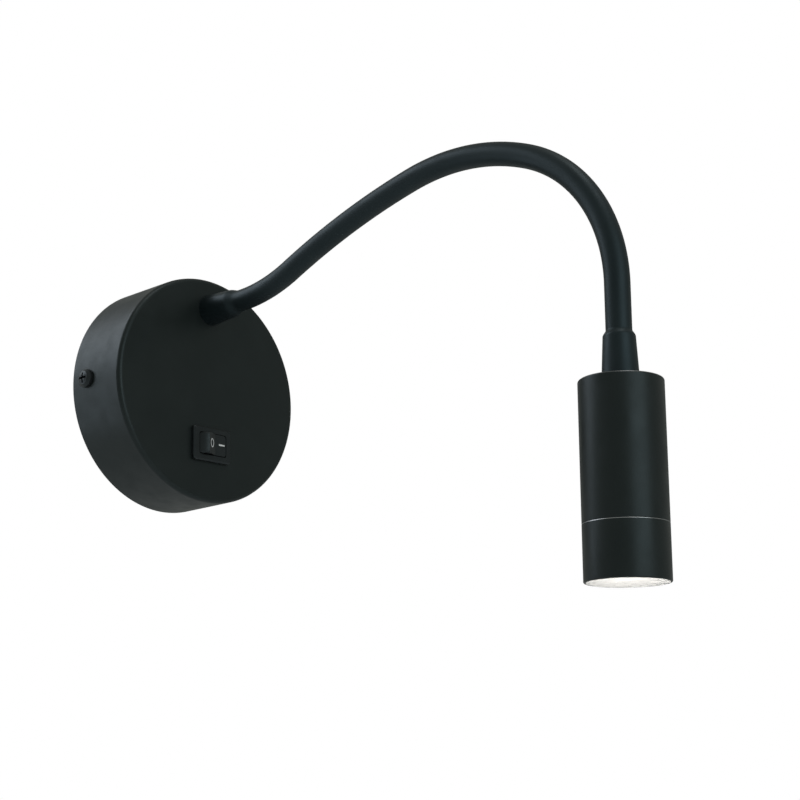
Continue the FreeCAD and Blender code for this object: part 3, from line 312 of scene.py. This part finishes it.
def glowing(name, first, second, strength, roughness=0.35, frost=900.0):
    """A lit, frosted surface whose fine frost mottles its glow between two tints."""
    material, nodes, links = new_material(name)
    shader = nodes["Principled BSDF"]
    coordinates = nodes.new("ShaderNodeTexCoord").outputs["Object"]
    mottle = spread(nodes, links, noise(nodes, links, coordinates, frost), 0, 1)
    links.new(blend_colours(nodes, links, mottle, first, second), shader.inputs["Emission Color"])
    shader.inputs["Emission Strength"].default_value = strength
    shader.inputs["Base Color"].default_value = (*first, 1)
    shader.inputs["Roughness"].default_value = roughness
    return material


def make_materials():
    """Every finish under its slot's name, and after them those of the scene's own detail."""
    steel = dict(metallic=1.0, roughness=0.32, bump=0.03, patch=120.0)
    cool = (0.80, 0.96, 1.0)
    return {
        "black_coat": finish(
            "powder_coat", (0.0070, 0.0095, 0.0088), (0.0100, 0.0128, 0.0118), 0.40,
            grain=2400.0, bump=0.10, specular=0.42, sheen_tint=cool),
        "sleeve_black": finish(
            "silicone_sleeve", (0.0050, 0.0085, 0.0095), (0.0085, 0.0125, 0.0140), 0.46,
            grain=3000.0, bump=0.05, specular=0.46, patch=30.0, sheen_tint=(0.68, 0.91, 1.0)),
        "switch_black": finish(
            "switch_nylon", (0.0085, 0.0095, 0.0105), (0.012, 0.013, 0.014), 0.36,
            grain=3400.0, bump=0.08, specular=0.48, patch=200.0, sheen_tint=cool),
        "black_screw": finish(
            "black_screw", (0.008, 0.008, 0.009), (0.014, 0.014, 0.015), 0.35,
            grain=3000.0, bump=0.06, patch=300.0, sheen_tint=cool),
        "zinc_plate": finish("zinc_plate", (0.50, 0.51, 0.50), (0.64, 0.64, 0.62), **steel),
        "zinc_screw": finish("zinc_screw", (0.55, 0.55, 0.53), (0.68, 0.68, 0.66), **steel),
        "brass": finish("brass", (0.62, 0.44, 0.18), (0.74, 0.55, 0.26), **steel),
        "copper": finish("copper_alloy", (0.62, 0.36, 0.22), (0.74, 0.46, 0.30), **steel),
        "grommet_rubber": finish(
            "grommet_rubber", (0.012, 0.012, 0.012), (0.020, 0.020, 0.020), 0.7),
        "nylon_white": finish("nylon_white", (0.66, 0.66, 0.62), (0.74, 0.74, 0.70), 0.5),
        "driver_white": finish("driver_white", (0.70, 0.70, 0.67), (0.76, 0.76, 0.73), 0.5),
        "foam_tape": finish(
            "foam_tape", (0.12, 0.12, 0.12), (0.20, 0.20, 0.20), 0.9, grain=1500.0, bump=0.4),
        "circuit_board": finish(
            "circuit_board", (0.03, 0.12, 0.05), (0.05, 0.16, 0.07), 0.35, patch=400.0),
        "components": finish(
            "components", (0.03, 0.03, 0.032), (0.07, 0.07, 0.08), 0.45, patch=150.0),
        "spring_steel": finish("spring_steel", (0.45, 0.45, 0.45), (0.58, 0.58, 0.58), **steel),
        "lead_brown": finish("lead_brown", (0.10, 0.045, 0.02), (0.14, 0.06, 0.03), 0.45),
        "lead_blue": finish("lead_blue", (0.02, 0.08, 0.30), (0.03, 0.11, 0.38), 0.45),
        "lead_green": finish(
            "lead_green", (0.06, 0.22, 0.03), (0.55, 0.50, 0.04), 0.45, patch=90.0),
        "lead_white": finish("lead_white", (0.62, 0.62, 0.60), (0.70, 0.70, 0.68), 0.45),
        "core_steel": finish("core_steel", (0.30, 0.30, 0.31), (0.46, 0.46, 0.47), **steel),
        "aluminium": finish("aluminium", (0.60, 0.60, 0.61), (0.72, 0.72, 0.72), **steel),
        "board_white": finish("board_white", (0.74, 0.74, 0.72), (0.80, 0.80, 0.78), 0.4),
        "led_yellow": glowing("led_package", (1.0, 0.86, 0.55), (1.0, 0.80, 0.42), 2.0),
        "reflector_silver": finish(
            "reflector_silver", (0.80, 0.80, 0.80), (0.88, 0.88, 0.88), 0.12,
            metallic=1.0, rough_spread=0.03, bump=0.02),
        "lens_frost": glowing("lens_frost", (1.0, 0.97, 0.92), (1.0, 0.95, 0.88), 29.0),
        "seal_grey": finish("seal_grey", (0.22, 0.22, 0.22), (0.30, 0.30, 0.30), 0.6),
        "lip_satin": finish("lip_satin", (0.42, 0.42, 0.42), (0.48, 0.48, 0.48), 0.34, bump=0.02),
        "mark_white": finish("mark_white", (0.90, 0.90, 0.90), (0.94, 0.94, 0.94), 0.5),
        # Painted highlight: a bright metal on the ring's bevel at the seam stands in for the light
        # that the seam catches.
        "painted_seam_highlight": finish(
            "painted_seam_highlight", (0.50, 0.51, 0.52), (0.74, 0.75, 0.76), 0.30, metallic=1.0),
        # Painted highlight: a bright metal on part of the head's top fillet stands in for the
        # light that this edge catches.
        "painted_top_highlight": finish(
            "painted_top_highlight", (0.14, 0.145, 0.15), (0.34, 0.35, 0.36), 0.28, metallic=1.0),
    }


def dress_frame(materials):
    """Every CAD node takes the material of its own slot."""
    slots = {s["node"]: s["material_slot"] for s in frame["record"]["subparts"]}
    for node, piece in frame["nodes"].items():
        for slot in piece.material_slots:
            slot.material = materials[slots[node]]


# ---- the gooseneck -------------------------------------------------------------------
def sleeve_rings(distances, radius_at, segments=64):
    """Rings square to the neck at these distances along it."""
    rings = []
    for distance in distances:
        point, heading = neck_at(distance)
        up = direction_of(heading + 90)
        rings.append(ring(point, X_AXIS, up, radius_at(distance), segments))
    return rings


def sleeve_piece(name, begin, end, material, outer, inner, step=1.0 * MM):
    """A length of sleeve, outside and inside, whose radii are functions of the distance."""
    count = max(2, round((end - begin) / step))
    distances = [begin + (end - begin) * k / count for k in range(count + 1)]
    rings = sleeve_rings(distances, outer) + sleeve_rings(distances[::-1], inner)
    return add_object(name, *rings_to_mesh(rings), material, sharp=50.0)


def eased(t):
    """Smooth step from 0 to 1."""
    t = max(0.0, min(1.0, t))
    return t * t * (3 - 2 * t)


def flare_radius(from_foot, taper_l, total_l, radii):
    """Radius of the sleeve over a ferrule: a slow taper, then a shoulder down to the neck."""
    foot, tip, neck = radii
    taper = foot + (tip - foot) * min(1.0, from_foot / taper_l)
    return taper + (neck - taper) * eased((from_foot - taper_l) / (total_l - taper_l))


def add_neck(materials):
    """One skin over the neck: a length for each joint and a flare at each end."""
    black = materials["sleeve_black"]
    for k in range(NECK_JOINTS):
        begin, end = FLEX_START + PITCH * k, FLEX_START + PITCH * (k + 1)
        piece = sleeve_piece(f"neck_sleeve_{k}", begin, end, black,
                             lambda d: NECK_R, lambda d: SLEEVE_IN_R)
        if k + 1 < NECK_JOINTS:
            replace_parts(piece, f"sleeve_{k + 1}")
        tuple(neck_at(begin)[0])
        tuple(neck_at(end)[0])
        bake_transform(piece)
    inside = (FERRULE_FOOT_R, FERRULE_TIP_R, SLEEVE_IN_R)
    root_out = (ROOT_FLARE_FOOT_R, ROOT_FLARE_TIP_R, NECK_R)
    root = sleeve_piece(
        "root_sleeve", 0.0, FLEX_START, black,
        lambda d: flare_radius(d, ROOT_FERRULE_L - EARLY_SHOULDER, FLEX_START, root_out),
        lambda d: flare_radius(d, ROOT_FERRULE_L, FLEX_START, inside), step=0.5 * MM)
    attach(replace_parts(root, "sleeve_0"), "base")
    head_out = (HEAD_FLARE_FOOT_R, HEAD_FLARE_TIP_R, NECK_R)
    cover_l = HEAD_FERRULE_L + SHOULDER
    tail = sleeve_piece(
        "head_sleeve", FLEX_END, NECK_L, black,
        lambda d: flare_radius(NECK_L - d, HEAD_FLARE_L, cover_l, head_out),
        lambda d: flare_radius(NECK_L - d, HEAD_FERRULE_L, cover_l, inside), step=0.3 * MM)
    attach(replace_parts(tail, f"sleeve_{NECK_JOINTS}"), "head")


# ---- the head ------------------------------------------------------------------------
def coat_faces(piece, material, chosen):
    """Give a further material to the faces chosen by depth below the head's top and radius."""
    piece.data.materials.append(material)
    for face in piece.data.polygons:
        depth = (face.center - HEAD_TOP).dot(HEAD_AXIS)
        radius = (face.center - HEAD_TOP - HEAD_AXIS * depth).length
        if chosen(depth, radius):
            face.material_index = len(piece.data.materials) - 1


def add_head(materials):
    """The spot's tube with a painted highlight on its top edge, and the ring with its pale lip and
    a painted highlight along its seam.
    """
    black = materials["black_coat"]
    tube = rounded([(STUB_HOLE_R, 0, 0), (HEAD_R, 0, TOP_FILLET), (HEAD_R, BODY_L, SEAM_FILLET),
                    (HEAD_BORE_R, BODY_L, 0), (HEAD_BORE_R, TOP_WALL, 0),
                    (STUB_HOLE_R, TOP_WALL, 0)])
    piece = turned("spot_body", tube, black)
    # A band of the top fillet takes a bright metal as a painted highlight.
    highlight_from, highlight_to = (share * TOP_FILLET for share in TOP_HIGHLIGHT_SHARE)
    coat_faces(piece, materials["painted_top_highlight"], lambda depth, radius:
               highlight_from < depth < highlight_to and radius > HEAD_R - TOP_FILLET)
    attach(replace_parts(piece, "head_body"), "head")
    cone = HEAD_L - MOUTH_DEPTH
    seat = cone - MOUTH_LAND
    collar = HEAD_BORE_R - COLLAR_PLAY
    mouth = rounded([(collar, BODY_L - THREAD_L, 0), (collar, BODY_L, 0),
                     (HEAD_R, BODY_L, SEAM_FILLET), (HEAD_R, HEAD_L, LIP_FILLET),
                     (MOUTH_EDGE_R, HEAD_L, 0), (MOUTH_R, cone, 0), (MOUTH_R, seat, 0),
                     (LENS_SEAT_R, seat, 0), (LENS_SEAT_R, BODY_L - THREAD_L, 0)])
    piece = turned("mouth_ring", mouth, black)
    coat_faces(piece, materials["lip_satin"], lambda depth, radius:
               depth > cone - FACE_SLACK and radius < MOUTH_EDGE_R + FACE_SLACK)
    # The ring's bevel at the seam takes a bright metal as a painted highlight.
    coat_faces(piece, materials["painted_seam_highlight"], lambda depth, radius:
               BODY_L < depth < BODY_L + SEAM_FILLET and radius > HEAD_R - SEAM_FILLET)
    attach(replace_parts(piece, "front_ring"), "head")


# ---- the rocker ----------------------------------------------------------------------
def rocker_face(side):
    """Dip and outward direction of one half of the rocker's face, its right half pressed in."""
    pivot = Vector((0, FACE_Y - BEZEL_T + PIVOT_BELOW_BEZEL, SWITCH_Z))
    rise, half = PIVOT_BELOW_BEZEL + ROCKER_FLUSH, radians(ROCKER_THROW / 2)
    dip = pivot + Vector((rise * tan(half), -rise, 0))
    along = Vector((1, 0, 0)) if side > 0 else Vector((-cos(2 * half), -sin(2 * half), 0))
    return dip, along


def line_mark(length=3.4 * MM, width=0.7 * MM):
    """Points and face of the line."""
    a, b = length / 2, width / 2
    return [(-a, -b), (a, -b), (a, b), (-a, b)], [(0, 1, 2, 3)]


def zero_mark(height=3.9 * MM, width=3.2 * MM, stroke=0.4 * MM, steps=40):
    """Points and faces of the 0, an oval band."""
    points, faces = [], []
    for k in range(steps):
        a = 2 * pi * k / steps
        points.append((cos(a) * width / 2, sin(a) * height / 2))
        points.append((cos(a) * (width / 2 - stroke), sin(a) * (height / 2 - stroke)))
    for k in range(steps):
        n = (k + 1) % steps
        faces.append((2 * k, 2 * n, 2 * n + 1, 2 * k + 1))
    return points, faces


def add_marks(materials):
    """A 0 on the raised half and a line on the pressed half, as thin prints."""
    for name, side, reach, (outline, faces) in (
            ("mark_line", 1, LINE_FROM_DIP, line_mark()),
            ("mark_zero", -1, ZERO_FROM_DIP, zero_mark())):
        dip, along = rocker_face(side)
        normal = along.cross(Z_AXIS) * side
        middle = dip + along * reach + normal * PRINT_LIFT + Z_AXIS * MARK_RISE
        vertices = [middle + along * u + Z_AXIS * v for u, v in outline]
        piece = add_object(name, vertices, faces, materials["mark_white"])
        thick = piece.modifiers.new("print", "SOLIDIFY")
        thick.thickness = PRINT_LIFT
        thick.offset = 0
        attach(piece, "rocker")


# ---- stage, light and camera ---------------------------------------------------------
def add_floor(radius=6.0, height=-0.45, paleness=0.8, cloud=3.0, roughness=0.8, sides=96):
    """A pale round floor that keeps part of the lamp's shadow."""
    rim = [Vector((radius * cos(2 * pi * k / sides), radius * sin(2 * pi * k / sides), height))
           for k in range(sides)]
    material, nodes, links = new_material("pale_floor")
    shader = nodes["Principled BSDF"]
    coordinates = nodes.new("ShaderNodeTexCoord").outputs["Object"]
    links.new(blend_colours(nodes, links, noise(nodes, links, coordinates, cloud),
                            (0.86, 0.86, 0.86), (0.90, 0.90, 0.90)), shader.inputs["Base Color"])
    shader.inputs["Roughness"].default_value = roughness
    glow = nodes.new("ShaderNodeEmission")
    glow.inputs["Color"].default_value = (1, 1, 1, 1)
    path = nodes.new("ShaderNodeLightPath")
    share = nodes.new("ShaderNodeMath")
    share.operation = "MULTIPLY"
    share.inputs[1].default_value = paleness
    links.new(path.outputs["Is Camera Ray"], share.inputs[0])
    choice = nodes.new("ShaderNodeMixShader")
    links.new(share.outputs["Value"], choice.inputs["Fac"])
    links.new(shader.outputs["BSDF"], choice.inputs[1])
    links.new(glow.outputs["Emission"], choice.inputs[2])
    links.new(choice.outputs["Shader"], nodes["Material Output"].inputs["Surface"])
    add_object("floor", rim, [tuple(range(sides))], material)


def add_world(light=0.28, tint=(0.96, 1.0, 0.94)):
    """Plain dim light from all round; the camera itself sees pure white behind the lamp."""
    world = bpy.data.worlds.new("studio")
    world.use_nodes = True
    bpy.context.scene.world = world
    nodes, links = world.node_tree.nodes, world.node_tree.links
    room = nodes["Background"]
    room.inputs["Color"].default_value = (*tint, 1)
    room.inputs["Strength"].default_value = light
    white = nodes.new("ShaderNodeBackground")
    white.inputs["Color"].default_value = (1, 1, 1, 1)
    path = nodes.new("ShaderNodeLightPath")
    choice = nodes.new("ShaderNodeMixShader")
    links.new(path.outputs["Is Camera Ray"], choice.inputs["Fac"])
    links.new(room.outputs["Background"], choice.inputs[1])
    links.new(white.outputs["Background"], choice.inputs[2])
    links.new(choice.outputs["Shader"], nodes["World Output"].inputs["Surface"])


def add_lights():
    """Soft area lights that the camera doesn't see."""
    for name, place, aim, size, power, colour in LIGHTS:
        data = bpy.data.lights.new(name, "AREA")
        data.shape = "RECTANGLE"
        data.size, data.size_y = size
        data.energy = power
        data.color = colour
        lamp = bpy.data.objects.new(name, data)
        lamp.location = place
        lamp.rotation_euler = (Vector(aim) - Vector(place)).to_track_quat("-Z", "Y").to_euler()
        lamp.visible_camera = False
        bpy.context.scene.collection.objects.link(lamp)


def add_camera():
    """Stands below and to the left, as the photograph was taken."""
    back = Vector((sin(CAMERA_AZIMUTH) * cos(CAMERA_ELEVATION),
                   -cos(CAMERA_AZIMUTH) * cos(CAMERA_ELEVATION), sin(CAMERA_ELEVATION)))
    right = (-back).cross(Z_AXIS).normalized()
    up = right.cross(-back)
    turned_right = right * cos(CAMERA_ROLL) + up * sin(CAMERA_ROLL)
    turned_up = up * cos(CAMERA_ROLL) - right * sin(CAMERA_ROLL)
    data = bpy.data.cameras.new("camera")
    data.sensor_width = SENSOR_MM
    data.lens = FOCAL_PX / FRAME_PX * SENSOR_MM
    camera = bpy.data.objects.new("camera", data)
    axes = Matrix((turned_right, turned_up, back)).transposed().to_4x4()
    camera.matrix_world = Matrix.Translation(Vector(CAMERA_PLACE)) @ axes
    bpy.context.scene.collection.objects.link(camera)
    bpy.context.scene.camera = camera


def main():
    add_camera()
    materials = make_materials()
    dress_frame(materials)
    add_neck(materials)
    add_head(materials)
    add_marks(materials)
    add_floor()
    add_world()
    add_lights()
    bpy.context.scene.view_settings.view_transform = "Standard"


main()
